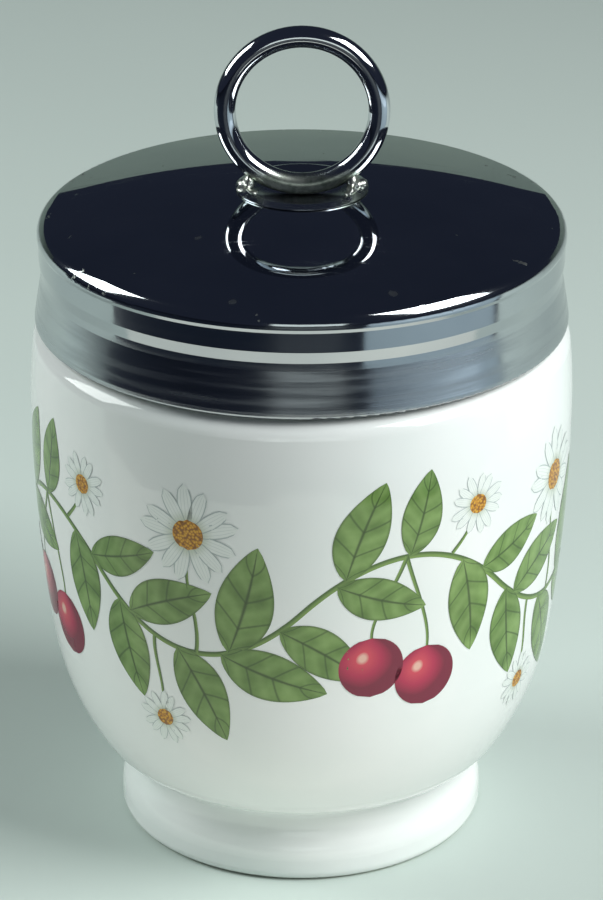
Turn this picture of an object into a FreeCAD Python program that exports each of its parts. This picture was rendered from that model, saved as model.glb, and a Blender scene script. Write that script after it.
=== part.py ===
"""Porcelain egg coddler with a screw-on metal lid and a wire lifting ring.

Millimetres, +Z up. The origin is the centre of the foot's underside, on the axis of the cup.
The lid is shown screwed home. The lifting ring stands in the XZ plane.
"""

import FreeCAD, Part
import math
import os

import Sketcher

os.makedirs("parts", exist_ok=True)

doc = FreeCAD.newDocument("egg_coddler")
sheet = doc.addObject("Spreadsheet::Sheet", "dims")


# Driving dimensions

class Size:
    """A length that knows its number and the sheet formula that drives it."""

    def __init__(self, formula, number):
        self.formula = formula
        self.number = number

    def __add__(self, other):
        return Size(f"({self.formula} + {other.formula})", self.number + other.number)

    def __sub__(self, other):
        return Size(f"({self.formula} - {other.formula})", self.number - other.number)


sheet_rows = []


def driving(name, value, meaning):
    """Puts one driving dimension in the sheet under its own alias."""
    sheet_rows.append(name)
    row = len(sheet_rows)
    sheet.set(f"A{row}", name)
    sheet.set(f"B{row}", str(value))
    sheet.setAlias(f"B{row}", name)
    sheet.set(f"C{row}", meaning)
    return Size(f"dims.{name}", value)


# Cup, outside
recess_radius = driving("recess_radius", 22.2, "radius of the recess under the cup")
recess_height = driving("recess_height", 3.4, "depth of the recess under the cup")
foot_inside = driving("foot_inside", 23.2, "inside radius of the foot ring")
foot_radius = driving("foot_radius", 26.2, "outside radius of the foot ring")
foot_edge = driving("foot_edge", 0.6, "rounding of the foot ring's inner edge")
foot_heel = driving("foot_heel", 1.4, "rounding of the foot ring's outer edge")
foot_straight = driving("foot_straight", 3.2, "height where the foot starts to draw in")
foot_roll = driving("foot_roll", 5.5, "radius of the foot's rounded side")
waist_radius = driving("waist_radius", 24.6, "radius of the waist above the foot")
waist_height = driving("waist_height", 9.2, "height of the waist")
turn_radius = driving("turn_radius", 8.0, "radius where the belly turns under")
flank_low = driving("flank_low", 14.1, "height where the turn meets the flank")
flank_radius = driving("flank_radius", 41.0, "radius of the belly's lower flank")
side_low = driving("side_low", 30.5, "height where the flank meets the side")
side_radius = driving("side_radius", 250.0, "radius of the belly's long side")
belly_radius = driving("belly_radius", 38.05, "largest radius of the belly")
belly_height = driving("belly_height", 64.0, "height of the belly's widest line")
upper_radius = driving("upper_radius", 85.0, "radius of the side above the widest line")
upper_top = driving("upper_top", 73.2, "height where the shoulder starts")
shoulder_radius = driving("shoulder_radius", 2.6, "radius of the shoulder")
neck_radius = driving("neck_radius", 34.4, "outside radius of the neck")
rim_height = driving("rim_height", 90.2, "height of the drinking rim")
rim_round = driving("rim_round", 1.5, "radius of the rim, half the neck's thickness")

# Cup, inside
belly_wall = driving("belly_wall", 3.4, "thickness of the belly")
throat_height = driving("throat_height", 76.0, "height where the straight bore starts")
chamber_bend = driving("chamber_bend", 14.0, "radius where the chamber starts to draw in")
floor_height = driving("floor_height", 10.5, "height of the chamber's floor at the axis")

# Screw thread
pitch = driving("pitch", 5.0, "rise of the lid in one turn")
cup_thread_start = driving("cup_thread_start", 79.1, "height of the cup thread's lower end")
cup_thread_rise = driving("cup_thread_rise", 6.25, "rise of the cup thread")
cup_thread_crest = driving("cup_thread_crest", 35.2, "crest radius of the cup thread")
lid_thread_start = driving("lid_thread_start", 80.3, "height of the lid thread's lower end")
lid_thread_rise = driving("lid_thread_rise", 5.0, "rise of the lid thread")
lid_thread_crest = driving("lid_thread_crest", 34.75, "crest radius of the lid thread")
ridge_root = driving("ridge_root", 1.0, "half the width of a thread ridge at its root")
ridge_crest = driving("ridge_crest", 0.45, "half the width of a thread ridge at its crest")
ridge_bite = driving("ridge_bite", 0.3, "depth of a ridge's root in its wall")

# Lid
hem_height = driving("hem_height", 76.2, "height of the lid's lower edge")
hem_edge = driving("hem_edge", 0.4, "rounding of the lid's lower edge")
skirt_radius = driving("skirt_radius", 37.15, "outside radius of the lower skirt")
skirt_height = driving("skirt_height", 77.0, "height where the skirt starts to narrow")
groove_radius = driving("groove_radius", 36.2, "outside radius of the skirt's groove")
groove_height = driving("groove_height", 82.7, "height where the groove runs straight")
crease_height = driving("crease_height", 83.8, "height of the crease over the groove")
lid_wall_radius = driving("lid_wall_radius", 36.42, "outside radius of the upper skirt")
lid_wall_low = driving("lid_wall_low", 85.4, "height where the upper skirt starts")
bead_low = driving("bead_low", 88.1, "height where the upper skirt meets the bead")
bead_radius = driving("bead_radius", 36.6, "outside radius of the bead")
bead_height = driving("bead_height", 88.6, "height of the bead's lower edge")
edge_radius = driving("edge_radius", 2.2, "radius of the lid's rounded top edge")
dome_radius = driving("dome_radius", 150.0, "radius of the lid's dome")
dome_top = driving("dome_top", 95.05, "height of the dome's sphere at the axis")
cradle_radius = driving("cradle_radius", 8.65, "radius of the recess that the saddle sits in")
cradle_floor = driving("cradle_floor", 93.6, "height of that recess's floor")
sheet_metal = driving("sheet_metal", 0.6, "thickness of the lid's top")
inner_edge = driving("inner_edge", 1.6, "inside radius of the lid's top edge")
lid_bore = driving("lid_bore", 35.55, "inside radius of the upper skirt")
lid_bore_low = driving("lid_bore_low", 79.2, "height where the upper skirt's bore starts")
hem_bore = driving("hem_bore", 36.45, "inside radius of the lower skirt")
hem_bore_top = driving("hem_bore_top", 78.2, "height where the lower skirt's bore ends")

# Saddle, lifting ring and solder
saddle_base = driving("saddle_base", 93.62, "height of the saddle's underside")
stem_radius = driving("stem_radius", 7.95, "radius of the saddle inside the recess")
flange_low = driving("flange_low", 94.84, "height of the underside of the saddle's flange")
saddle_radius = driving("saddle_radius", 9.15, "outside radius of the saddle's flange")
saddle_edge = driving("saddle_edge", 94.98, "height of the flange's upright edge")
brim_radius = driving("brim_radius", 8.0, "radius of the saddle's raised brim")
brim_height = driving("brim_height", 95.0, "height of the middle of the brim's rounding")
brim_round = driving("brim_round", 0.35, "radius of the brim's rounding")
dish_bottom = driving("dish_bottom", 93.9, "height of the saddle's dish at the axis")
ring_radius = driving("ring_radius", 10.55, "radius of the ring to the middle of its wire")
wire_radius = driving("wire_radius", 1.5, "radius of the ring's wire")
ring_height = driving("ring_height", 105.96, "height of the ring's centre")
seam_gap = driving("seam_gap", 0.1, "gap between the saddle and its solder seam")
seam_width = driving("seam_width", 0.5, "width of the solder seam")
seam_low = driving("seam_low", 93.7, "height of the solder seam's underside")
seam_top = driving("seam_top", 94.7, "height of the solder seam's top")
lump_place = driving("lump_place", 7.6, "distance of a solder lump from the axis")
lump_height = driving("lump_height", 96.0, "height of a solder lump's middle")
lump_tall = driving("lump_tall", 1.12, "half the height of a solder lump")
lump_long = driving("lump_long", 1.25, "half the length of a solder lump along the wire")
lump_wide = driving("lump_wide", 1.3, "half the width of a solder lump across the wire")

doc.recompute()


# Drawing helpers

def new_body(name):
    """An empty body with its own label."""
    body = doc.addObject("PartDesign::Body", name)
    body.Label = name
    return body


def upright_sketch(body, name):
    """A sketch in the body's XZ plane, so its axes are radius and height."""
    sketch = body.newObject("Sketcher::SketchObject", name)
    planes = [item for item in body.Origin.OriginFeatures if item.Role == "XZ_Plane"]
    sketch.AttachmentSupport = [(planes[0], "")]
    sketch.MapMode = "FlatFace"
    return sketch


def plain(point):
    """A point's two numbers, whether its coordinates are sizes or plain numbers."""
    return tuple(getattr(value, "number", value) for value in point)


class Section:
    """A closed half-section, drawn anticlockwise, one piece after another.

    A point is (radius, height). A Size in it is bound to the sheet, a 0 lies on the axis or
    on the table, and any other number is only where the solver starts from.
    """

    ACROSS_AXIS = -1
    UP_AXIS = -2
    CENTRE = 3

    def __init__(self, sketch, start):
        self.sketch = sketch
        self.start = start
        self.point = plain(start)
        self.pieces = []

    def line(self, end, smooth=False, upright=False, level=False):
        """A straight piece; a smooth one leaves the last piece at a tangent."""
        vectors = [FreeCAD.Vector(*point, 0) for point in (self.point, plain(end))]
        index = self.sketch.addGeometry(Part.LineSegment(*vectors), False)
        if upright:
            self.rule("Vertical", index)
        if level:
            self.rule("Horizontal", index)
        return self.add(index, 1, 2, end, smooth)

    def arc(self, end, centre, hollow=False, smooth=False, size=None):
        """An arc about a centre; a hollow one turns clockwise, and size binds its radius."""
        first, last = (plain(end), self.point) if hollow else (self.point, plain(end))
        centre = plain(centre)
        radius = math.dist(self.point, centre)
        turn_from = math.atan2(first[1] - centre[1], first[0] - centre[0])
        turn_to = math.atan2(last[1] - centre[1], last[0] - centre[0])
        if turn_to <= turn_from:
            turn_to += 2 * math.pi
        circle = Part.Circle(FreeCAD.Vector(*centre, 0), FreeCAD.Vector(0, 0, 1), radius)
        index = self.sketch.addGeometry(Part.ArcOfCircle(circle, turn_from, turn_to), False)
        if size is not None:
            self.bound_rule("Radius", size, index)
        ends = (2, 1) if hollow else (1, 2)
        return self.add(index, *ends, end, smooth)

    def add(self, index, head, tail, end, smooth):
        """Joins a new piece to the last one and binds its end."""
        if self.pieces:
            last, _, last_tail = self.pieces[-1]
            self.rule("Tangent" if smooth else "Coincident", last, last_tail, index, head)
        self.pieces.append((index, head, tail))
        self.point = plain(end)
        if end is not self.start:
            self.bind(index, tail, end)
        return index

    def close(self):
        """Joins the last piece to the first and binds the start point."""
        first, head, _ = self.pieces[0]
        last, _, tail = self.pieces[-1]
        self.rule("Coincident", last, tail, first, head)
        self.bind(first, head, self.start)

    def bind(self, index, place, point):
        """Binds one end of a piece to the sheet or to an axis."""
        for kind, value, axis in zip(("DistanceX", "DistanceY"), point,
                                     (self.UP_AXIS, self.ACROSS_AXIS)):
            if isinstance(value, Size):
                self.bound_rule(kind, value, self.ACROSS_AXIS, 1, index, place)
            elif value == 0:
                self.rule("PointOnObject", index, place, axis)

    def centre_height(self, index, height):
        """Binds the height of an arc's centre, so that its tangent there is upright."""
        self.bound_rule("DistanceY", height, self.ACROSS_AXIS, 1, index, self.CENTRE)

    def centre_depth(self, index, depth):
        """Binds how far an arc's centre lies below the table."""
        self.bound_rule("DistanceY", depth, index, self.CENTRE, self.ACROSS_AXIS, 1)

    def centre_radius(self, index, radius):
        """Binds how far an arc's centre lies from the axis."""
        self.bound_rule("DistanceX", radius, self.ACROSS_AXIS, 1, index, self.CENTRE)

    def centre_on_axis(self, index):
        """Keeps an arc's centre on the axis."""
        self.rule("PointOnObject", index, self.CENTRE, self.UP_AXIS)

    def same_centre(self, index, other):
        """Gives two arcs one centre."""
        self.rule("Coincident", index, self.CENTRE, other, self.CENTRE)

    def rule(self, *words):
        """Adds a constraint and returns its number."""
        return self.sketch.addConstraint(Sketcher.Constraint(*words))

    def bound_rule(self, kind, size, *places):
        """Adds a constraint whose value follows the sheet."""
        number = self.rule(kind, *places, size.number)
        self.sketch.setExpression(f"Constraints[{number}]", size.formula)


def on_circle(centre, radius, angle):
    """The point of a circle at an angle above the horizontal."""
    return (centre[0] + radius * math.cos(angle), centre[1] + radius * math.sin(angle))


def s_curve(low, high, low_radius):
    """Joint and centres of the two arcs that join two points with upright tangents."""
    (low_x, low_z), (high_x, high_z) = plain(low), plain(high)
    angle = 2 * math.atan2(low_x - high_x, high_z - low_z)
    high_radius = (high_z - low_z) / math.sin(angle) - low_radius.number
    low_centre = (low_x - low_radius.number, low_z)
    high_centre = (high_x + high_radius, high_z)
    return on_circle(low_centre, low_radius.number, angle), low_centre, high_centre


def revolve(body, sketch):
    """Turns a half-section once round +Z."""
    solid = body.newObject("PartDesign::Revolution", "turned")
    solid.Profile = sketch
    solid.ReferenceAxis = (sketch, ["V_Axis"])
    solid.Angle = 360
    sketch.Visibility = False


def helical_ridge(body, root, crest, start, rise):
    """Adds a right-hand screw ridge between the radii of its root and its crest."""
    sketch = upright_sketch(body, "ridge_section")
    corners = [
        (root, start - ridge_root),
        (crest, start - ridge_crest),
        (crest, start + ridge_crest),
        (root, start + ridge_root),
    ]
    ridge = Section(sketch, corners[0])
    for corner in corners[1:]:
        ridge.line(corner)
    ridge.line(corners[0])
    ridge.close()
    helix = body.newObject("PartDesign::AdditiveHelix", "thread")
    helix.Profile = sketch
    helix.ReferenceAxis = (sketch, ["V_Axis"])
    helix.Mode = "pitch-height-angle"
    helix.setExpression("Pitch", pitch.formula)
    helix.setExpression("Height", rise.formula)
    sketch.Visibility = False


# Cup: foot ring, belly, egg chamber and threaded neck, fired in one piece

def make_cup():
    body = new_body("cup")
    sketch = upright_sketch(body, "cup_section")

    # Underside and foot
    foot_top = (foot_radius, foot_straight)
    waist = (waist_radius, waist_height)
    foot_joint, roll_centre, sweep_centre = s_curve(foot_top, waist, foot_roll)
    section = Section(sketch, (0, recess_height))
    section.line((recess_radius, recess_height))
    section.line((foot_inside, foot_edge))
    inner_corner = (foot_inside + foot_edge, foot_edge)
    section.arc((foot_inside + foot_edge, 0), inner_corner, size=foot_edge)
    section.line((foot_radius - foot_heel, 0))
    outer_corner = (foot_radius - foot_heel, foot_heel)
    section.arc((foot_radius, foot_heel), outer_corner, size=foot_heel)
    section.line(foot_top)
    section.arc(foot_joint, roll_centre, smooth=True, size=foot_roll)
    sweep = section.arc(waist, sweep_centre, hollow=True, smooth=True)
    section.centre_height(sweep, waist_height)

    # The belly's arcs are worked out from the widest line downwards
    widest = (belly_radius.number, belly_height.number)
    side_centre = (widest[0] - side_radius.number, widest[1])
    side_angle = math.asin((side_low.number - widest[1]) / side_radius.number)
    side_end = on_circle(side_centre, side_radius.number, side_angle)
    flank_centre = on_circle(side_end, -flank_radius.number, side_angle)
    flank_angle = math.asin((flank_low.number - flank_centre[1]) / flank_radius.number)
    flank_end = on_circle(flank_centre, flank_radius.number, flank_angle)
    turn_centre = on_circle(flank_end, -turn_radius.number, flank_angle)

    # A cove joins the waist to the turn
    across = waist_radius.number - turn_centre[0]
    down = waist_height.number - turn_centre[1]
    reach = across ** 2 + down ** 2 - turn_radius.number ** 2
    cove_radius = reach / (2 * (turn_radius.number - across))
    cove_centre = (waist_radius.number + cove_radius, waist_height.number)
    cove_angle = math.atan2(cove_centre[1] - turn_centre[1], cove_centre[0] - turn_centre[0])
    cove_end = on_circle(turn_centre, turn_radius.number, cove_angle)

    section.arc(cove_end, cove_centre, hollow=True, smooth=True)
    turn_end = (flank_end[0], flank_low)
    turn = section.arc(turn_end, turn_centre, smooth=True, size=turn_radius)
    flank_top = (side_end[0], side_low)
    flank = section.arc(flank_top, flank_centre, smooth=True, size=flank_radius)
    side = section.arc(
        (belly_radius, belly_height), side_centre, smooth=True, size=side_radius)
    section.centre_height(side, belly_height)

    # Shoulder and neck
    upper_centre = (widest[0] - upper_radius.number, widest[1])
    upper_angle = math.asin((upper_top.number - widest[1]) / upper_radius.number)
    upper_end = on_circle(upper_centre, upper_radius.number, upper_angle)
    shoulder_centre = on_circle(upper_end, -shoulder_radius.number, upper_angle)
    shoulder_end = on_circle(shoulder_centre, shoulder_radius.number, math.pi / 2)
    bore = neck_radius - rim_round - rim_round
    rim_middle = rim_height - rim_round
    section.arc((upper_end[0], upper_top), upper_centre, smooth=True, size=upper_radius)
    section.arc(shoulder_end, shoulder_centre, smooth=True, size=shoulder_radius)
    section.line((neck_radius, shoulder_end[1]), smooth=True, level=True)
    section.line((neck_radius, rim_middle))
    rim = section.arc((bore, rim_middle), (neck_radius - rim_round, rim_middle))
    section.centre_height(rim, rim_middle)

    # Bore and throat of the chamber
    chamber_widest = (belly_radius - belly_wall, belly_height)
    bore_end = (bore, throat_height)
    throat_joint, bend_centre, throat_centre = s_curve(chamber_widest, bore_end, chamber_bend)
    section.line(bore_end)
    section.arc(throat_joint, throat_centre, smooth=True)
    bend = section.arc(
        chamber_widest, bend_centre, hollow=True, smooth=True, size=chamber_bend)
    section.centre_height(bend, belly_height)

    # The chamber's wall follows the belly, and its floor is centred on the axis
    inner_side_end = on_circle(side_centre, side_radius.number - belly_wall.number, side_angle)
    inner_flank_end = on_circle(
        flank_centre, flank_radius.number - belly_wall.number, flank_angle)
    inner_turn = turn_radius.number - belly_wall.number
    drop = floor_height.number - turn_centre[1]
    floor_reach = turn_centre[0] ** 2 + drop ** 2 - inner_turn ** 2
    floor_radius = floor_reach / (-2 * (drop + inner_turn))
    floor_centre = (0.0, floor_height.number + floor_radius)
    floor_angle = math.atan2(turn_centre[1] - floor_centre[1], turn_centre[0])
    inner_turn_end = on_circle(floor_centre, floor_radius, floor_angle)
    inner_side = section.arc(inner_side_end, side_centre, hollow=True)
    section.same_centre(inner_side, side)
    inner_flank = section.arc(inner_flank_end, flank_centre, hollow=True, smooth=True)
    section.same_centre(inner_flank, flank)
    inner_turn_arc = section.arc(inner_turn_end, turn_centre, hollow=True, smooth=True)
    section.same_centre(inner_turn_arc, turn)
    floor = section.arc((0, floor_height), floor_centre, hollow=True, smooth=True)
    section.centre_on_axis(floor)
    section.line(section.start)
    section.close()
    revolve(body, sketch)
    helical_ridge(
        body, neck_radius - ridge_bite, cup_thread_crest, cup_thread_start, cup_thread_rise)

    # The cup is turned so that the lid's ridge runs midway between its own
    body.Placement = FreeCAD.Placement(
        FreeCAD.Vector(0, 0, 0), FreeCAD.Rotation(FreeCAD.Vector(0, 0, 1), 0))
    lead = (
        "(dims.cup_thread_start - dims.lid_thread_start - dims.pitch / 2)"
        " / dims.pitch * 360 deg")
    body.setExpression("Placement.Rotation.Angle", lead)
    return body


# Lid: one pressed shell with a recessed dome, a beaded edge and a grooved skirt

def make_lid_cap():
    body = new_body("lid_cap")
    sketch = upright_sketch(body, "lid_section")

    # Skirt, from the hem upwards
    skirt_top = (skirt_radius, skirt_height)
    groove_low = (groove_radius, groove_height)
    section = Section(sketch, (hem_bore, hem_height))
    section.line((skirt_radius - hem_edge, hem_height))
    hem_corner = (skirt_radius - hem_edge, hem_height + hem_edge)
    section.arc((skirt_radius, hem_height + hem_edge), hem_corner, size=hem_edge)
    section.line(skirt_top)
    section.line(groove_low)
    section.line((groove_radius, crease_height))
    section.line((lid_wall_radius, lid_wall_low))
    section.line((lid_wall_radius, bead_low))
    section.line((bead_radius, bead_height))

    # Rounded edge, tangent to the bead and to the dome
    dome_centre = (0.0, dome_top.number - dome_radius.number)
    edge_place = bead_radius.number - edge_radius.number
    edge_reach = dome_radius.number - edge_radius.number
    edge_angle = math.acos(edge_place / edge_reach)
    edge_centre = on_circle(dome_centre, edge_reach, edge_angle)
    section.line((bead_radius, edge_centre[1]))
    dome_start = on_circle(dome_centre, dome_radius.number, edge_angle)
    section.arc(dome_start, edge_centre, smooth=True, size=edge_radius)
    cradle_angle = math.acos(cradle_radius.number / dome_radius.number)
    cradle_lip = on_circle(dome_centre, dome_radius.number, cradle_angle)
    dome = section.arc(
        (cradle_radius, cradle_lip[1]), dome_centre, smooth=True, size=dome_radius)
    section.centre_on_axis(dome)
    section.centre_depth(dome, dome_radius - dome_top)

    # Recess under the saddle
    section.line((cradle_radius, cradle_floor))
    section.line((0, cradle_floor))
    section.line((0, cradle_floor - sheet_metal))
    section.line((cradle_radius + sheet_metal, cradle_floor - sheet_metal))

    # Underside
    inner_dome = dome_radius.number - sheet_metal.number
    inner_place = lid_bore.number - inner_edge.number
    inner_reach = inner_dome - inner_edge.number
    inner_angle = math.acos(inner_place / inner_reach)
    inner_centre = on_circle(dome_centre, inner_reach, inner_angle)
    under_cradle = (cradle_radius + sheet_metal).number
    under_angle = math.acos(under_cradle / inner_dome)
    section.line((cradle_radius + sheet_metal, on_circle(dome_centre, inner_dome, under_angle)[1]))
    underside = section.arc(
        on_circle(dome_centre, inner_dome, inner_angle), dome_centre,
        hollow=True, size=dome_radius - sheet_metal)
    section.same_centre(underside, dome)
    section.arc(
        (lid_bore.number, inner_centre[1]), inner_centre,
        hollow=True, smooth=True, size=inner_edge)
    section.line((lid_bore, lid_bore_low), smooth=True, upright=True)
    section.line((hem_bore, hem_bore_top))
    section.line(section.start)
    section.close()
    revolve(body, sketch)
    helical_ridge(
        body, lid_bore + ridge_bite, lid_thread_crest, lid_thread_start, lid_thread_rise)
    return body


# Saddle: a round dish with a flange, set in the lid's recess, that seats the lifting ring

def make_ring_saddle():
    body = new_body("ring_saddle")
    sketch = upright_sketch(body, "saddle_section")
    edge = plain((saddle_radius, saddle_edge))
    brim = plain((brim_radius, brim_height))
    brim_size = brim_round.number

    # Tangent from the upright edge to the brim
    spread = math.acos(brim_size / math.dist(edge, brim))
    flank_angle = math.atan2(edge[1] - brim[1], edge[0] - brim[0]) + spread
    flank_end = on_circle(brim, brim_size, flank_angle)

    # Dish, tangent to the brim and centred on the axis
    rise = brim[1] - dish_bottom.number
    reach = brim[0] ** 2 + rise ** 2 - brim_size ** 2
    dish_radius = reach / (2 * (brim_size + rise))
    dish_centre = (0.0, dish_bottom.number + dish_radius)
    dish_angle = math.atan2(dish_centre[1] - brim[1], dish_centre[0] - brim[0])
    dish_start = on_circle(brim, brim_size, dish_angle)

    section = Section(sketch, (0, saddle_base))
    section.line((stem_radius, saddle_base))
    section.line((stem_radius, flange_low))
    section.line((saddle_radius, flange_low))
    section.line((saddle_radius, saddle_edge))
    section.line(flank_end)
    rounding = section.arc(dish_start, brim, smooth=True, size=brim_round)
    section.centre_height(rounding, brim_height)
    section.centre_radius(rounding, brim_radius)
    dish = section.arc((0, dish_bottom), dish_centre, hollow=True, smooth=True)
    section.centre_on_axis(dish)
    section.line(section.start)
    section.close()
    revolve(body, sketch)
    return body


# Solder seam that fills the recess round the saddle, under its flange

def make_saddle_solder():
    body = new_body("saddle_solder")
    sketch = upright_sketch(body, "seam_section")
    seam_bore = stem_radius + seam_gap
    section = Section(sketch, (seam_bore, seam_low))
    section.line((seam_bore + seam_width, seam_low))
    section.line((seam_bore + seam_width, seam_top))
    section.line((seam_bore, seam_top))
    section.line(section.start)
    section.close()
    revolve(body, sketch)
    return body


# Lifting ring: one closed loop of round wire

def make_lifting_ring():
    ring = doc.addObject("Part::Torus", "lifting_ring")
    ring.Label = "lifting_ring"
    ring.setExpression("Radius1", ring_radius.formula)
    ring.setExpression("Radius2", wire_radius.formula)
    upright = FreeCAD.Rotation(FreeCAD.Vector(1, 0, 0), 90)
    ring.Placement = FreeCAD.Placement(FreeCAD.Vector(0, 0, ring_height.number), upright)
    ring.setExpression("Placement.Base.z", ring_height.formula)
    return ring


# Solder lumps where the ring crosses the saddle's brim

def make_ring_solder(name, side, ring, saddle):
    lump = doc.addObject("Part::Ellipsoid", f"{name}_lump")
    lump.setExpression("Radius1", lump_tall.formula)
    lump.setExpression("Radius2", lump_long.formula)
    lump.setExpression("Radius3", lump_wide.formula)
    lump.Placement.Base = FreeCAD.Vector(side * lump_place.number, 0, lump_height.number)
    lump.setExpression("Placement.Base.x", f"{side} * {lump_place.formula}")
    lump.setExpression("Placement.Base.z", lump_height.formula)
    under_ring = doc.addObject("Part::Cut", f"{name}_under_ring")
    under_ring.Base = lump
    under_ring.Tool = ring
    solder = doc.addObject("Part::Cut", name)
    solder.Label = name
    solder.Base = under_ring
    solder.Tool = saddle
    return solder


cup = make_cup()
lid_cap = make_lid_cap()
ring_saddle = make_ring_saddle()
saddle_solder = make_saddle_solder()
lifting_ring = make_lifting_ring()
ring_solder_left = make_ring_solder("ring_solder_left", -1, lifting_ring, ring_saddle)
ring_solder_right = make_ring_solder("ring_solder_right", 1, lifting_ring, ring_saddle)
doc.recompute()


# Checks and export

subparts = [
    cup,
    lid_cap,
    ring_saddle,
    saddle_solder,
    lifting_ring,
    ring_solder_left,
    ring_solder_right,
]
for item in doc.Objects:
    if {"Invalid", "Error"} & set(item.State):
        raise RuntimeError(f"{item.Label} failed: {item.State}")
    if item.TypeId == "Sketcher::SketchObject":
        print(f"{item.Label}: fully constrained {item.FullyConstrained}")
for subpart in subparts:
    shape = subpart.Shape
    if shape.isNull() or not shape.isValid():
        raise RuntimeError(f"{subpart.Label} has no valid shape")
    box = shape.BoundBox
    print(
        f"{subpart.Label}: {len(shape.Solids)} solid, volume {shape.Volume:.1f} mm3, "
        f"x {box.XMin:.2f} to {box.XMax:.2f}, z {box.ZMin:.2f} to {box.ZMax:.2f}")
    shape.exportStep(f"parts/{subpart.Label}.step")
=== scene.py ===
# %% [markdown]
# # Porcelain egg coddler
# A coddler is a small lidded cup in which an egg is cooked in hot water. This lesson dresses its
# CAD model: a glazed cup with a printed garland, and a chromed screw lid with a wire lifting ring.
# The CAD solids already have the right shapes, so most of the work is finishes, print and light.

# %% Load the CAD frame
import math

import bmesh
import bpy
from mathutils import Matrix, Vector, geometry, noise
from mathutils.bvhtree import BVHTree


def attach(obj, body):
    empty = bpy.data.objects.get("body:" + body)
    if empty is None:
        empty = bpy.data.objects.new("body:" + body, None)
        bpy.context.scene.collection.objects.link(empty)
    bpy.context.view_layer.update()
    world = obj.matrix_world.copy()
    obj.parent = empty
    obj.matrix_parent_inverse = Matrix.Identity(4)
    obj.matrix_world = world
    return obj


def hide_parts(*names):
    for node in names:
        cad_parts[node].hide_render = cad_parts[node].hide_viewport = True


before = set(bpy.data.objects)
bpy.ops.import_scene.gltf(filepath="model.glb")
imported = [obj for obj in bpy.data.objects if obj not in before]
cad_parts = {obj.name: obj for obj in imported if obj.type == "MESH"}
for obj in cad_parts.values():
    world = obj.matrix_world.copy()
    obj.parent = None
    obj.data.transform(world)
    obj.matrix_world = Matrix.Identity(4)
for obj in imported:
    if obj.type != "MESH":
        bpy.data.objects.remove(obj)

bpy.context.view_layer.update()
MM = 0.001
print("nodes:", ", ".join(sorted(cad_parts)))

# %% [markdown]
# ## Camera
# The photograph looks down on the cup from about 24 degrees with a long lens, so the two sides of
# the cup stay almost parallel. The place and the lens were fitted to the ellipses of the lid and
# of the foot. The camera turns a tenth of a degree on its own axis, as the photograph does.

# %% Camera
CAMERA_PLACE = (0, -0.49008, 0.27632)
CAMERA_TILT = 65.716
CAMERA_ROLL = 0.1

camera_data = bpy.data.cameras.new("camera")
camera_data.lens = 151.66
camera_data.sensor_width = 36
camera = bpy.data.objects.new("camera", camera_data)
camera.matrix_world = (Matrix.Translation(CAMERA_PLACE)
                       @ Matrix.Rotation(math.radians(CAMERA_TILT), 4, "X")
                       @ Matrix.Rotation(math.radians(CAMERA_ROLL), 4, "Z"))
bpy.context.scene.collection.objects.link(camera)
bpy.context.scene.camera = camera
print("camera looks down by", round(90 - CAMERA_TILT, 1), "degrees")

# %% [markdown]
# ## Helpers for materials and pieces
# Colours are picked as sRGB hex values, but a shader works with linear light, so one function
# turns them. Another fills a node's inputs. The third adds a node with its settings and what
# feeds it, and hands back the output that the next node reads. The last three start a finish,
# put it on a CAD node, and turn a bmesh into an object.

# %% Colours and nodes
def linear(hex_code):
    """The linear RGBA of an sRGB hex colour."""
    channels = [int(hex_code[i:i + 2], 16) / 255 for i in (1, 3, 5)]
    return [c / 12.92 if c <= 0.04045 else ((c + 0.055) / 1.055) ** 2.4 for c in channels] + [1]


def connect(node, inputs):
    """Fills inputs, by name or in order, with numbers, hex colours or the sockets that feed."""
    for key, value in (inputs.items() if isinstance(inputs, dict) else enumerate(inputs)):
        if isinstance(value, bpy.types.NodeSocket):
            node.id_data.links.new(value, node.inputs[key])
        else:
            node.inputs[key].default_value = linear(value) if isinstance(value, str) else value


def add(material, kind, inputs=(), out=0, stops=(), **settings):
    """Adds a node and returns its output. stops are a ramp's places and hex colours."""
    node = material.node_tree.nodes.new("ShaderNode" + kind)
    for name, value in settings.items():
        setattr(node, name, value)
    connect(node, inputs)
    if stops:
        elements = node.color_ramp.elements
        while len(elements) < len(stops):
            elements.new(0.5)
        for element, (position, colour) in zip(elements, stops):
            element.position = position
            element.color = linear(colour)
    return node.outputs[out]


# With this setting, a value between two ends changes slowly at both of them.
SMOOTH = {"interpolation_type": "SMOOTHSTEP"}
print("pale grey in linear light:", [round(c, 3) for c in linear("#BACDC7")])

# %% Finishes and pieces
def finish_named(name):
    """A new material with its Principled shader."""
    material = bpy.data.materials.new(name)
    material.use_nodes = True
    return material, material.node_tree.nodes["Principled BSDF"]


def dress(node, material):
    """Gives a CAD node its finish."""
    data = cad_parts[node].data
    data.materials.clear()
    data.materials.append(material)
    print(node, "wears", material.name)


def made_piece(name, shape, material):
    """An object from a bmesh, with one material."""
    data = bpy.data.meshes.new(name)
    shape.to_mesh(data)
    shape.free()
    data.materials.append(material)
    piece = bpy.data.objects.new(name, data)
    bpy.context.scene.collection.objects.link(piece)
    return piece


print("CAD nodes that wait for a finish:", len(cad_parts))
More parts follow.
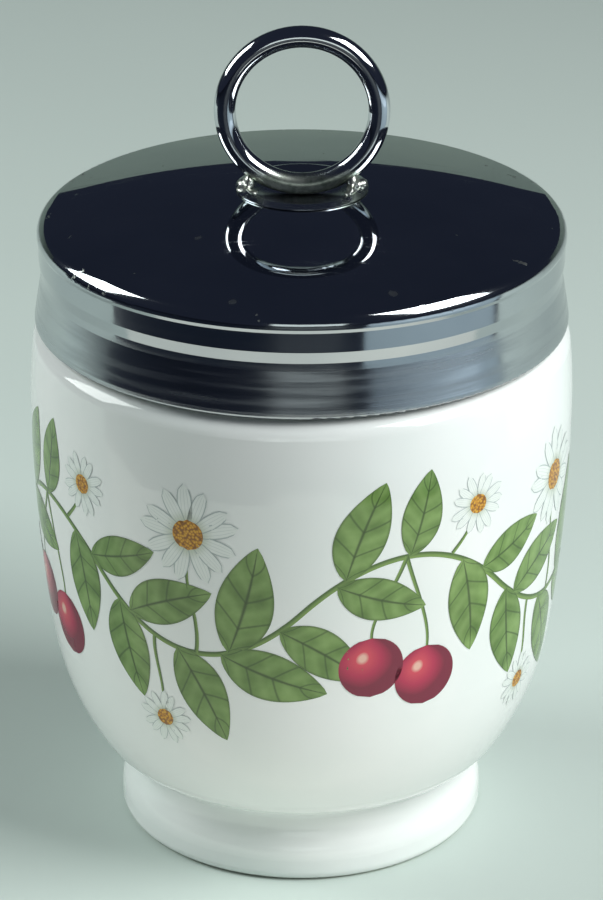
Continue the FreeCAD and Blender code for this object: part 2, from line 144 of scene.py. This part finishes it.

# %% [markdown]
# ## Studio
# The cup stands on pale paper, with a sheet of it leaning behind whose darker colour is painted
# shade, where the backdrop falls off into shade. Two soft boxes light it from the left and from
# the right, a weak one fills in from the front, and the room above them is dark. Polished metal
# shows all of this. The backdrop is low, which gives the lid its dark front half and its pale
# rear half. In front the paper is cut to a blunt point, and the dark table round the point makes
# the dark patches in the lid's skirt. Grey and pale blue cards on the table make the soft glow
# on the skirt's right, and a white one in front lights the foot.

# %% Floor and backdrop
def sheet_finish(name, darker, paler):
    """Matt paper. Its tint changes over 200 mm; its tooth is drawn coarse, 1 mm, to show."""
    material, shader = finish_named(name)
    place = add(material, "TexCoord", out="Object")
    tooth = add(material, "TexNoise", {"Vector": place, "Scale": 900, "Detail": 3})
    tint = add(material, "TexNoise", {"Vector": place, "Scale": 5, "Detail": 2})
    colour = add(material, "MixRGB", (tint, darker, paler))
    bump = add(material, "Bump", {"Height": tooth, "Strength": 0.1, "Distance": 0.00005})
    connect(shader, {"Base Color": colour, "Roughness": 0.9, "Normal": bump})
    return material


def sheet_piece(name, corners, material, height=0.0):
    """A flat sheet with these corners; a corner is at the sheet's height if it names none."""
    shape = bmesh.new()
    shape.faces.new([shape.verts.new((*corner, height)[:3]) for corner in corners])
    made_piece(name, shape, material)


paper = sheet_finish("pale_studio_paper", "#C3CFC9", "#CBD7D1")
# The backdrop's darker colour is painted shade, where the sheet falls off into shade behind the
# cup.
shaded_paper = sheet_finish("shaded_backdrop_paper", "#95A39A", "#9CAAA0")
sheet_piece("studio_paper", [(-0.42, -0.03), (-0.22, -0.03), (-0.02, -0.2), (0.04, -0.2),
                             (0.22, -0.01), (1.0, -0.01), (1.0, 0.75), (-1.0, 0.75),
                             (-1.0, 0.4), (-0.46, 0.2)], paper)
sheet_piece("studio_backdrop", [(-1.0, 0.75, 0), (1.0, 0.75, 0), (1.0, 0.80, 0.25),
                                (-1.0, 0.80, 0.25)], shaded_paper)
print("paper and backdrop are set")

# %% Cards and table
grey_card = sheet_finish("grey_reflector_card", "#94A5AE", "#9DADB5")
far_card = sheet_finish("pale_blue_reflector_card", "#BFD0DC", "#C7D7E2")
white_card = sheet_finish("white_reflector_card", "#EEF1E8", "#F3F5EC")
dark_laminate, shader = finish_named("dark_table_laminate")
connect(shader, {"Base Color": "#1B2230", "Roughness": 0.42})
sheet_piece("studio_card", [(0.09, -0.20), (0.50, -0.90), (1.0, -0.50), (1.0, -0.02),
                            (0.20, -0.02)], grey_card, -0.0005)
sheet_piece("studio_far_card", [(0.20, -0.42), (0.50, -0.90), (1.0, -0.50), (1.0, -0.15),
                                (0.42, -0.12)], far_card, -0.0003)
sheet_piece("studio_front_card", [(-0.2147, -0.0345), (-0.02, -0.2), (0.04, -0.2),
                                  (0.1968, -0.0345)], white_card, 0.0003)
sheet_piece("studio_table", [(-1.5, -1.2), (1.5, -1.2), (1.5, 1.2), (-1.5, 1.2)],
            dark_laminate, -0.001)
print("three cards lie on the paper and the table")

# %% Soft boxes and the dark room
LIT_POINT = Vector((0, 0, 0.05))


def soft_box(name, direction, distance, size, power, colour):
    """A rectangular lamp that faces the middle of the cup."""
    data = bpy.data.lights.new(name, "AREA")
    data.shape = "RECTANGLE"
    data.size, data.size_y = size
    data.energy = power
    data.color = linear(colour)[:3]
    lamp = bpy.data.objects.new(name, data)
    way = Vector(direction).normalized()
    lamp.matrix_world = (Matrix.Translation(LIT_POINT + way * distance)
                         @ way.to_track_quat("Z", "Y").to_matrix().to_4x4())
    bpy.context.scene.collection.objects.link(lamp)


soft_box("right_soft_box", (0.70, -0.285, 0.65), 0.75, (0.47, 0.45), 6.7, "#FCFFFE")
soft_box("left_soft_box", (-0.83, 0.17, 0.5), 0.75, (0.36, 0.42), 3.6, "#F8FFFC")
soft_box("front_fill_box", (0.05, -1.0, 0.12), 0.95, (0.5, 0.2), 0.36, "#F4FFFA")
world = bpy.data.worlds.new("dark_room")
world.use_nodes = True
connect(world.node_tree.nodes["Background"], {"Color": "#B5C9FF", "Strength": 0.04})
bpy.context.scene.world = world
bpy.context.scene.view_settings.view_transform = "Standard"
print("two soft boxes, a weak fill box and a dark room")

# %% [markdown]
# ## Glazed porcelain
# The cup is white bone-like porcelain under a clear gloss glaze. Under a lamp the glaze shows long
# soft ripples where it flowed, and a rare dark speck from the kiln. The tread of the foot is left
# bare so that it doesn't stick to the shelf, and it is matt and a little warmer. The CAD cup has
# the right shape, with its thread and its hollow, so it keeps its mesh and gets this finish.

# %% Porcelain's white, its specks and its bare tread
GLAZE_IOR = 1.52
TREAD_HEIGHTS = (0.0002, 0.0004)

porcelain, shader = finish_named("glazed_porcelain")
place = add(porcelain, "TexCoord", out="Object")
cloud = add(porcelain, "TexNoise", {"Vector": place, "Scale": 45, "Detail": 2})
body_white = add(porcelain, "ValToRGB", {"Fac": cloud},
                 stops=[(0.35, "#F0F5F2"), (0.65, "#F6F8F6")])
cells = add(porcelain, "TexVoronoi", {"Vector": place, "Scale": 90}, feature="F1")
speck = add(porcelain, "MapRange", (cells, 0.012, 0.02, 0.35, 0))
speckled = add(porcelain, "MixRGB", (speck, body_white, "#8A8272"))
height = add(porcelain, "SeparateXYZ", {"Vector": place}, out="Z")
bare = add(porcelain, "MapRange", (height, *TREAD_HEIGHTS, 1, 0))
grain = add(porcelain, "TexNoise", {"Vector": place, "Scale": 2500, "Detail": 3})
clay = add(porcelain, "ValToRGB", {"Fac": grain}, stops=[(0.3, "#D9D3C4"), (0.7, "#EAE5D9")])
coloured = add(porcelain, "MixRGB", (bare, speckled, clay))
print("specks are about 0.3 mm across and 11 mm apart")

# %% Glaze
# The glaze's ripples are about 9 mm long.
gloss = add(porcelain, "MapRange", (bare, 0, 1, 0.07, 0.75))
flow = add(porcelain, "TexNoise", {"Vector": place, "Scale": 110, "Detail": 1})
ripple = add(porcelain, "Bump", {"Height": flow, "Strength": 0.5, "Distance": 0.00006})
connect(shader, {"Base Color": coloured, "Roughness": gloss, "Normal": ripple, "IOR": GLAZE_IOR})
dress("cup", porcelain)
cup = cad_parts["cup"]
print("cup faces:", len(cup.data.polygons))

# %% [markdown]
# ## Chrome-plated lid
# The lid is a spun metal cap with a bright plated finish, worn by years of use. Wear runs round
# the cap, so the pattern is laid in turned coordinates: the way along the skirt, the distance
# from the axis and the height. Fine lines round the skirt blur its reflections up and down, and
# small pits and dried drops dull the top here and there.

# %% Turned coordinates and the lid's zones
SKIRT_RADIUS = 0.037
SKIRT_TO_TOP = (0.0895, 0.0912)
HEM_TO_SKIRT = (0.0826, 0.0838)
LIP_TO_HEM = (0.0768, 0.0779)

lid_chrome, shader = finish_named("worn_chrome_plate")
place = add(lid_chrome, "TexCoord", out="Object")
parts = add(lid_chrome, "SeparateXYZ", {"Vector": place}).node.outputs
height = parts["Z"]
angle = add(lid_chrome, "Math", (parts["Y"], parts["X"]), operation="ARCTAN2")
along = add(lid_chrome, "Math", (angle, SKIRT_RADIUS), operation="MULTIPLY")
flat = add(lid_chrome, "CombineXYZ", (parts["X"], parts["Y"]))
radius = add(lid_chrome, "VectorMath", (flat,), out="Value", operation="LENGTH")
turned = add(lid_chrome, "CombineXYZ", (along, radius, height))
on_skirt, on_hem, on_lip = [add(lid_chrome, "MapRange", (height, *heights, 1, 0), **SMOOTH)
                            for heights in (SKIRT_TO_TOP, HEM_TO_SKIRT, LIP_TO_HEM)]
print("the skirt ends at", SKIRT_TO_TOP[0] / MM, "mm and the hem at", HEM_TO_SKIRT[0] / MM)

# %% Polishing lines and blotches
# Rubbed belts are a millimetre or so high, cloudy patches 13 mm across and grime 2 mm.
stretched = add(lid_chrome, "Mapping", {"Vector": turned, "Scale": (50, 7000, 7000)})
hairlines = add(lid_chrome, "TexNoise", {"Vector": stretched, "Scale": 1, "Detail": 4,
                                         "Roughness": 0.6})
belts = add(lid_chrome, "Mapping", {"Vector": turned, "Scale": (45, 300, 900)})
rubbing = add(lid_chrome, "TexNoise", {"Vector": belts, "Scale": 1, "Detail": 3})
clouds = add(lid_chrome, "TexNoise", {"Vector": place, "Scale": 75, "Detail": 5})
grime = add(lid_chrome, "TexNoise", {"Vector": place, "Scale": 420, "Detail": 5})
print("hairlines are about 0.14 mm apart and 20 mm long")

# %% Fine scratches and nicks
TOP_HEIGHTS = (0.090, 0.0915)
EDGE_STARTS = (0.0885, 0.0895)
EDGE_ENDS = (0.0912, 0.0918)

scratches = 0.0
for turn, least in ((0.5, 0.66), (-0.9, 0.67), (1.9, 0.68)):
    strokes = add(lid_chrome, "Mapping", {"Vector": place, "Rotation": (0, 0, turn),
                                          "Scale": (70, 2600, 70)})
    drawn = add(lid_chrome, "TexNoise", {"Vector": strokes, "Scale": 1, "Detail": 2})
    line = add(lid_chrome, "MapRange", (drawn, least, least + 0.03, 0, 1), **SMOOTH)
    scratches = add(lid_chrome, "Math", (scratches, line), operation="MAXIMUM")
in_patches = add(lid_chrome, "MapRange", (clouds, 0.45, 0.6, 0, 1), **SMOOTH)
on_top = add(lid_chrome, "MapRange", (height, *TOP_HEIGHTS, 0, 1), **SMOOTH)
over_edge = add(lid_chrome, "MapRange", (height, *EDGE_STARTS, 0, 1), **SMOOTH)
under_edge = add(lid_chrome, "MapRange", (height, *EDGE_ENDS, 1, 0), **SMOOTH)
chips = add(lid_chrome, "MapRange", (grime, 0.66, 0.70, 0, 1), **SMOOTH)
for zone in (in_patches, on_top):
    scratches = add(lid_chrome, "Math", (scratches, zone), operation="MULTIPLY")
near_edge = add(lid_chrome, "Math", (over_edge, under_edge), operation="MULTIPLY")
nicks = add(lid_chrome, "Math", (near_edge, chips), operation="MULTIPLY")
print("scratches are about 0.1 mm wide and 5 mm long")

# %% Pits and dried drops
DROP_PLACES = [(-0.0140, -0.0159, 0.0931), (0.0287, -0.0222, 0.0916), (-0.021, 0.006, 0.0926),
               (0.012, -0.0305, 0.0915), (-0.009, -0.0328, 0.0911)]

cells = add(lid_chrome, "TexVoronoi", {"Vector": place, "Scale": 150}, feature="F1")
pits = add(lid_chrome, "MapRange", (cells, 0.02, 0.05, 1, 0), **SMOOTH)
marks = add(lid_chrome, "Math", (pits, nicks), operation="MAXIMUM")
for spot in DROP_PLACES:
    away = add(lid_chrome, "VectorMath", (place, spot), out="Value", operation="DISTANCE")
    ragged = add(lid_chrome, "Math", (grime, 0.0014, away), operation="MULTIPLY_ADD")
    drop = add(lid_chrome, "MapRange", (ragged, 0.00125, 0.0016, 0.75, 0), **SMOOTH)
    marks = add(lid_chrome, "Math", (marks, drop), operation="MAXIMUM")
print(len(DROP_PLACES), "dried drops and a few pits on the lid")

# %% Put the lid's finish together
POLISH = 0.025

bright = add(lid_chrome, "ValToRGB", {"Fac": clouds},
             stops=[(0.35, "#B1B6BB"), (0.65, "#BBBFC2")])
dirty = add(lid_chrome, "MixRGB", (marks, bright, "#B4B8B2"))
hem_wear = add(lid_chrome, "MapRange", (rubbing, 0.35, 0.7, 0.07, 0.15), **SMOOTH)
skirt_wear = add(lid_chrome, "MapRange", (rubbing, 0.4, 0.7, 0.05, 0.1), **SMOOTH)
lip_wear = add(lid_chrome, "MapRange", (hairlines, 0.45, 0.65, 0, 0.12), **SMOOTH)
gloss = 0.0
for zone, wear in ((on_hem, hem_wear), (on_skirt, skirt_wear), (on_lip, lip_wear)):
    dull = add(lid_chrome, "Math", (zone, wear), operation="MULTIPLY")
    gloss = add(lid_chrome, "Math", (gloss, dull), operation="ADD")
gloss = add(lid_chrome, "Math", (scratches, 0.10, gloss), operation="MULTIPLY_ADD")
gloss = add(lid_chrome, "Math", (marks, 0.35, gloss), operation="MULTIPLY_ADD")
gloss = add(lid_chrome, "Math", (gloss, POLISH), operation="ADD")
lines = add(lid_chrome, "Math", (hairlines, on_skirt), operation="MULTIPLY")
groove = add(lid_chrome, "Bump", {"Height": lines, "Strength": 0.35, "Distance": 0.00001})
sink = add(lid_chrome, "Bump", {"Height": marks, "Strength": 0.4, "Distance": 0.00003,
                                "Normal": groove}, invert=True)
connect(shader, {"Metallic": 1, "Base Color": dirty, "Roughness": gloss, "Normal": sink})
dress("lid_cap", lid_chrome)

# %% Saddle
# Flux film dulls the two ends of the saddle, where the solder ran, in patches of 1.5 mm.
FILM_STARTS = (0.0035, 0.0065)

saddle_chrome, shader = finish_named("soldered_chrome")
place = add(saddle_chrome, "TexCoord", out="Object")
sideways = add(saddle_chrome, "SeparateXYZ", {"Vector": place}, out="X")
off = add(saddle_chrome, "Math", (sideways,), operation="ABSOLUTE")
ends = add(saddle_chrome, "MapRange", (off, *FILM_STARTS, 0, 1), **SMOOTH)
film = add(saddle_chrome, "TexNoise", {"Vector": place, "Scale": 650, "Detail": 5})
patches = add(saddle_chrome, "MapRange", (film, 0.4, 0.62, 0, 1), **SMOOTH)
smear = add(saddle_chrome, "Math", (ends, patches), operation="MULTIPLY")
shade = add(saddle_chrome, "MixRGB", (smear, "#A9AEB5", "#98A397"))
rough = add(saddle_chrome, "Math", (smear, 0.14, 0.18), operation="MULTIPLY_ADD")
connect(shader, {"Metallic": 1, "Base Color": shade, "Roughness": rough})
dress("ring_saddle", saddle_chrome)

# %% [markdown]
# ## Wire ring and solder
# The ring is bent from round chromed wire and stands in the dish of the saddle. It was soldered by
# hand: the wire is dull and greenish where the flux and the solder ran up it. The lumps at the
# saddle's two ends are tin solder that froze as it ran. Overlapping blobs, melted together by a
# voxel remesh and then smoothed, have the same soft necks and dimples.

# %% Chromed wire
# The stain's upper edge wanders, and its blotches are about 1 mm across.
STAIN_HEIGHTS = (0.0975, 0.0990)

wire_chrome, shader = finish_named("chromed_wire")
place = add(wire_chrome, "TexCoord", out="Object")
height = add(wire_chrome, "SeparateXYZ", {"Vector": place}, out="Z")
blotch = add(wire_chrome, "TexNoise", {"Vector": place, "Scale": 900, "Detail": 4})
wobble = add(wire_chrome, "Math", (blotch, 0.0016, height), operation="MULTIPLY_ADD")
stain = add(wire_chrome, "MapRange", (wobble, *STAIN_HEIGHTS, 1, 0))
tarnish = add(wire_chrome, "ValToRGB", {"Fac": blotch},
              stops=[(0.35, "#7C857C"), (0.6, "#A9AFA6")])
shown = add(wire_chrome, "MixRGB", (stain, "#C6C9CD", tarnish))
rough = add(wire_chrome, "MapRange", (stain, 0, 1, 0.07, 0.34))
connect(shader, {"Metallic": 1, "Base Color": shown, "Roughness": rough})
dress("lifting_ring", wire_chrome)

# %% Bright solder
# The skin of frozen solder has dimples about 0.7 mm across.
solder_metal, shader = finish_named("tin_solder")
place = add(solder_metal, "TexCoord", out="Object")
skin = add(solder_metal, "TexNoise", {"Vector": place, "Scale": 1400, "Detail": 3})
tint = add(solder_metal, "ValToRGB", {"Fac": skin}, stops=[(0.3, "#AEB3AA"), (0.7, "#D4D6D0")])
rough = add(solder_metal, "MapRange", (skin, 0, 1, 0.2, 0.45))
lumps = add(solder_metal, "Bump", {"Height": skin, "Strength": 0.12, "Distance": 0.00004})
connect(shader, {"Metallic": 1, "Base Color": tint, "Roughness": rough, "Normal": lumps})
dress("saddle_solder", solder_metal)

# %% Melt a lump of solder
SOLDER_VOXEL = 0.00012
SOLDER_CALM = 14


def solder_lump(name, blobs):
    """Blobs of solder, run together by a remesh. A blob is a centre and half sizes in mm."""
    shape = bmesh.new()
    for centre, sizes in blobs:
        made = bmesh.ops.create_icosphere(shape, subdivisions=4, radius=MM)
        for vert in made["verts"]:
            swell = 1 + 0.05 * noise.noise(vert.co / MM * 1.6 + Vector(centre))
            vert.co = (Vector([c * size for c, size in zip(vert.co * swell, sizes)])
                       + Vector(centre) * MM)
    piece = made_piece(name, shape, solder_metal)
    run = piece.modifiers.new("run_together", "REMESH")
    run.mode = "VOXEL"
    run.voxel_size = SOLDER_VOXEL
    run.use_smooth_shade = True
    calm = piece.modifiers.new("surface_tension", "SMOOTH")
    calm.iterations = SOLDER_CALM
    bpy.context.view_layer.update()
    melted = bpy.data.meshes.new_from_object(
        piece.evaluated_get(bpy.context.evaluated_depsgraph_get()))
    piece.modifiers.clear()
    piece.data = melted
    melted.shade_smooth()
    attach(piece, "lid")
    return piece


print("solder is remeshed at", SOLDER_VOXEL / MM, "mm")

# %% Lay the solder
left_lump = solder_lump("solder_left", [
    ((-7.25, -0.3, 95.75), (0.75, 1.1, 1.15)),
    ((-7.9, 0.1, 95.35), (1.0, 1.1, 0.7)),
    ((-8.0, -1.3, 95.05), (1.05, 1.2, 0.45)),
    ((-7.2, -2.5, 95.0), (1.2, 1.0, 0.35)),
])
right_lump = solder_lump("solder_right", [
    ((6.9, -0.5, 95.85), (0.85, 1.15, 1.2)),
    ((7.5, 0.0, 95.35), (1.05, 1.2, 0.75)),
    ((8.3, 0.2, 95.4), (0.75, 0.9, 0.65)),
    ((6.7, -2.0, 95.3), (0.65, 1.4, 0.5)),
    ((6.4, -3.4, 95.05), (0.6, 0.9, 0.4)),
])
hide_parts("ring_solder_left")
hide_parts("ring_solder_right")
print("lump faces:", len(left_lump.data.polygons), len(right_lump.data.polygons))

# %% [markdown]
# ## Transfers on the cup
# Ceramic prints are thin transfers laid on the glaze and fired. Each leaf, petal, stem and fruit
# is a flat grid, pulled to its outline on an unrolled sheet of the belly and then wrapped onto
# it, a few hundredths of a millimetre proud. A grid brings its own UV map, across and along the
# shape, so the veins and shading follow every leaf. The design is a plain garland of cherries,
# daisies and oval leaves, repeated round the cup.

# %% Draw on the unrolled sheet
belly = BVHTree.FromPolygons([v.co for v in cup.data.vertices],
                             [p.vertices for p in cup.data.polygons])
SHEET_RADIUS = 38.05
RAY_START = 0.06
REPEATS = 4
REPEAT_WIDTH = 2 * math.pi * SHEET_RADIUS / REPEATS


def wrapped(point, lift):
    """A sheet point (mm to the right, mm up) on the belly, lifted by a few hundredths of a mm."""
    angle = point.x / SHEET_RADIUS
    outward = Vector((math.sin(angle), -math.cos(angle), 0))
    start = outward * RAY_START + Vector((0, 0, point.y * MM))
    spot, normal, _, _ = belly.ray_cast(start, -outward)
    return spot + normal * lift * MM


def print_shape(printed, outline, root, turn, length, lift, across=6, along=14, bend=0):
    """One printed shape: outline(t) is its half width at t along it, as a share of its length."""
    made = bmesh.ops.create_grid(printed, x_segments=across, y_segments=along, size=0.5,
                                 calc_uvs=True)
    swing = Matrix.Rotation(math.radians(turn), 2)
    for vert in made["verts"]:
        share = vert.co.y + 0.5
        flat = Vector((vert.co.x * 2 * outline(share) + bend * share ** 2, share)) * length
        vert.co = wrapped(Vector(root) + swing @ flat, lift)


print("one repeat is", round(REPEAT_WIDTH, 1), "mm wide")

# %% Draw a stem
def print_stem(printed, corners, thick, thin, lift, steps=24):
    """A tapering line along a Bezier curve."""
    line = geometry.interpolate_bezier(*[Vector((*corner, 0)) for corner in corners], steps + 1)
    made = bmesh.ops.create_grid(printed, x_segments=1, y_segments=steps, size=0.5, calc_uvs=True)
    for vert in made["verts"]:
        share = vert.co.y + 0.5
        step = min(int(round(share * steps)), steps)
        ahead, behind = line[min(step + 1, steps)], line[max(step - 1, 0)]
        run = (ahead - behind).normalized()
        wide = thick + (thin - thick) * share
        flat = line[step] + Vector((-run.y, run.x, 0)) * vert.co.x * wide
        vert.co = wrapped(flat.to_2d(), lift)


print("stems follow Bezier curves on the same sheet")

# %% Outlines
def oval_leaf(t):
    """A leaf, fullest a little below its middle, with a pointed tip."""
    return 0.24 * math.sin(math.pi * min(t, 1) ** 0.85) ** 0.8 if 0 < t < 1 else 0


def round_fruit(t):
    """A circle."""
    return math.sqrt(max(0.25 - (t - 0.5) ** 2, 0))


def daisy_petal(t):
    """A petal, narrow at the flower's eye and blunt at its end."""
    return 0.2 * math.sqrt(max(math.sin(math.pi * (0.06 + 0.94 * t)), 0)) * (0.45 + 0.55 * t)


print("leaf half width at its middle:", round(oval_leaf(0.5), 3), "of its length")

# %% The garland's one repeat
# Millimetres on the unrolled sheet. A leaf has its stem, its place along it, its splay from it in
# degrees, its length and its bend. A cherry has its middle and its width, and a daisy its middle,
# its width and its turn.
trough = [(-REPEAT_WIDTH / 2, 48), (-20, 38), (-10, 38), (0, 48)]
crest = [(0, 48), (10, 58), (20, 58), (REPEAT_WIDTH / 2, 48)]
leaves = [
    (trough, 0.08, -44, 15.0, -0.10), (trough, 0.14, 66, 14.5, 0.12),
    (trough, 0.40, -46, 15.5, 0.12), (trough, 0.66, 50, 17.0, -0.12),
    (trough, 0.62, -40, 16.0, -0.10), (trough, 0.90, -66, 14.5, 0.12),
    (crest, 0.20, 44, 15.0, 0.10), (crest, 0.50, 70, 12.5, -0.12),
    (crest, 0.16, -60, 13.5, -0.12), (crest, 0.78, -44, 15.0, 0.12),
    (crest, 0.90, 52, 12.5, -0.10),
]
stalks = [
    [(14.5, 55.5), (13, 51), (9.5, 47), (9.8, 43.5)],
    [(14.5, 55.5), (16, 50), (18.5, 45), (18.2, 41.0)],
    [(-15, 40.5), (-14, 46), (-16.5, 50), (-15.8, 54)],
    [(-21.6, 41.6), (-22, 38), (-20.6, 35), (-21, 31.5)],
    [(21.5, 54.5), (23, 56), (24, 57), (24.6, 58.5)],
]
cherries = [(9.9, 39.0, 9.4), (18.2, 36.4, 9.4)]
daisies = [(-15.6, 58.5, 15.0, 5), (25.6, 60.8, 9.5, 20), (-21, 28.6, 9.0, 0)]
print(len(leaves), "leaves,", len(cherries), "cherries and", len(daisies), "daisies a repeat")

# %% Print the stems, leaves and cherries
# Each kind of shape lies at its own lift, so that what overlaps doesn't flicker.
VINE_LIFT, STALK_LIFT, LEAF_LIFT, CHERRY_LIFT, PETAL_LIFT, EYE_LIFT = (
    0.03, 0.032, 0.036, 0.048, 0.050, 0.058)
ALONG_VINE = 100

prints = {name: bmesh.new() for name in ("leaves", "stems", "cherries", "petals", "eyes")}
for printed in prints.values():
    printed.loops.layers.uv.new("UVMap")
shifts = [Vector((repeat * REPEAT_WIDTH, 0)) for repeat in range(REPEATS)]
for shift in shifts:
    for line in (crest, trough):
        print_stem(prints["stems"], [Vector(c) + shift for c in line], 0.8, 0.8, VINE_LIFT, 40)
    for line in stalks:
        print_stem(prints["stems"], [Vector(c) + shift for c in line], 0.6, 0.4, STALK_LIFT)
    for i, (line, share, splay, length, bend) in enumerate(leaves):
        run = geometry.interpolate_bezier(*[Vector((*c, 0)) for c in line], ALONG_VINE + 1)
        step = round(share * ALONG_VINE)
        spot, ahead = run[step], run[min(step + 1, ALONG_VINE)]
        heading = math.degrees(math.atan2(ahead.y - spot.y, ahead.x - spot.x)) - 90
        print_shape(prints["leaves"], oval_leaf, spot.to_2d() + shift, heading + splay, length,
                    LEAF_LIFT + i * 0.001, across=8, along=22, bend=bend)
    for s, z, wide in cherries:
        print_shape(prints["cherries"], round_fruit, Vector((s, z - wide / 2)) + shift, 0, wide,
                    CHERRY_LIFT, across=12, along=24)
print("leaves printed:", len(leaves) * REPEATS)

# %% Print the daisies
PETALS = 13
EYE_SHARE = 0.3

for shift in shifts:
    for s, z, wide, turn in daisies:
        for petal in range(PETALS):
            sway = 4 * math.sin(petal * 2.4 + s)
            reach = wide / 2 * (0.96 + 0.04 * math.cos(petal * 1.9))
            print_shape(prints["petals"], daisy_petal, Vector((s, z)) + shift,
                        turn + petal * 360 / PETALS + sway, reach,
                        PETAL_LIFT + (petal % 3) * 0.002, across=4, along=8)
        eye = wide * EYE_SHARE
        print_shape(prints["eyes"], round_fruit, Vector((s, z - eye / 2)) + shift, 0, eye,
                    EYE_LIFT, across=8, along=12)
for name, printed in prints.items():
    bmesh.ops.remove_doubles(printed, verts=printed.verts, dist=0.000001)
    bmesh.ops.recalc_face_normals(printed, faces=printed.faces)
    print(name, "faces:", len(printed.faces))

# %% [markdown]
# ## Ceramic colours
# The printed colours are fired enamels under the same gloss as the glaze. Each is shaded from its
# own UV map: the leaf gets a midrib, side veins and a darker edge, the cherry a lit side and a
# dark rim, and the petals grey lines and a green wash towards the eye of the flower.

# %% Enamel helpers
def enamel(name):
    """A fired colour with the glaze's gloss, and its place across (-1 to 1) and along (0 to 1)."""
    material, shader = finish_named(name)
    connect(shader, {"IOR": GLAZE_IOR, "Roughness": 0.12})
    own = add(material, "SeparateXYZ", {"Vector": add(material, "UVMap")}).node.outputs
    across = add(material, "MapRange", (own["X"], 0, 1, -1, 1))
    off = add(material, "Math", (across,), operation="ABSOLUTE")
    return material, shader, across, off, own["Y"]


def washed(material, colour, washes):
    """A colour under washes: each has a value, its two ends, its strength at each, its colour."""
    for value, low, high, before, after, wash in washes:
        share = add(material, "MapRange", (value, low, high, before, after), **SMOOTH)
        colour = add(material, "MixRGB", (share, colour, wash))
    return colour


print("enamels have the glaze's refraction,", GLAZE_IOR)

# %% Greens
# The leaves have brushed tones 4 mm across. Four washes follow: the bulge between two veins, the
# side veins, the edge and the midrib.
leaf_green, shader, across, off, along = enamel("leaf_green_enamel")
place = add(leaf_green, "TexCoord", out="Object")
brush = add(leaf_green, "TexNoise", {"Vector": place, "Scale": 260, "Detail": 5})
green = add(leaf_green, "ValToRGB", {"Fac": brush},
            stops=[(0.3, "#5C7A3C"), (0.5, "#6F8F4C"), (0.72, "#86A55F")])
slant = add(leaf_green, "Math", (off, -0.16, along), operation="MULTIPLY_ADD")
ribs = add(leaf_green, "Math", (slant, 8), operation="MULTIPLY")
saw = add(leaf_green, "Math", (ribs, 1), operation="PINGPONG")
green = washed(leaf_green, green, [
    (saw, 0.3, 1.0, 0, 0.35, "#93B06B"),
    (saw, 0.0, 0.16, 0.75, 0, "#43592F"),
    (off, 0.86, 1.0, 0, 0.7, "#4B6334"),
    (off, 0.0, 0.10, 0.9, 0, "#3B4F2A"),
])
connect(shader, {"Base Color": green})

stem_green, shader, across, off, along = enamel("stem_green_enamel")
green = washed(stem_green, "#7C9A52", [(across, -0.6, 0.8, 0, 1, "#4E6A38")])
connect(shader, {"Base Color": green})
print("greens are mixed")

# %% Reds, whites and yellows
# A cherry is lit from its upper left. A petal's washes are its pleats, its green throat and its
# edge. The eye's grains of pollen are 0.4 mm across.
cherry_red, shader, across, off, along = enamel("cherry_red_enamel")
upward = add(cherry_red, "MapRange", (along, 0, 1, -1, 1))
centre = add(cherry_red, "CombineXYZ", (across, upward))
lit_side = add(cherry_red, "VectorMath", (centre, (0.3, -0.35, 0)), operation="ADD")
far = add(cherry_red, "VectorMath", (lit_side,), out="Value", operation="LENGTH")
red = add(cherry_red, "ValToRGB", {"Fac": far},
          stops=[(0.1, "#E8B9A8"), (0.22, "#D2485A"), (0.6, "#B42B4F"), (1.0, "#7A1C38")])
connect(shader, {"Base Color": red})

petal_white, shader, across, off, along = enamel("petal_white_enamel")
pleats = add(petal_white, "Math", (across, 2.2), operation="MULTIPLY")
stripe = add(petal_white, "Math", (pleats, 0.5), operation="PINGPONG")
pale = washed(petal_white, "#EEF4EF", [
    (stripe, 0.0, 0.14, 0.5, 0, "#B6C3C0"),
    (along, 0.55, 0.2, 0, 0.7, "#A9B594"),
    (off, 0.75, 1.0, 0, 0.8, "#93A3A4"),
])
connect(shader, {"Base Color": pale})

eye_yellow, shader, across, off, along = enamel("eye_yellow_enamel")
place = add(eye_yellow, "TexCoord", out="Object")
pollen = add(eye_yellow, "TexVoronoi", {"Vector": place, "Scale": 2600})
yellow = add(eye_yellow, "ValToRGB", {"Fac": pollen},
             stops=[(0.15, "#E0B23A"), (0.45, "#C98A22"), (0.7, "#8A5A1E")])
connect(shader, {"Base Color": yellow})
print("red, white and yellow are mixed")

# %% Fire the transfers onto the cup
enamels = {"leaves": leaf_green, "stems": stem_green, "cherries": cherry_red,
           "petals": petal_white, "eyes": eye_yellow}
for name, printed in prints.items():
    piece = made_piece("print_" + name, printed, enamels[name])
    piece.data.shade_smooth()
    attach(piece, "cup")
print("printed pieces:", len(enamels))

# %% [markdown]
# ## Last

# %% Update the scene
bpy.context.view_layer.update()
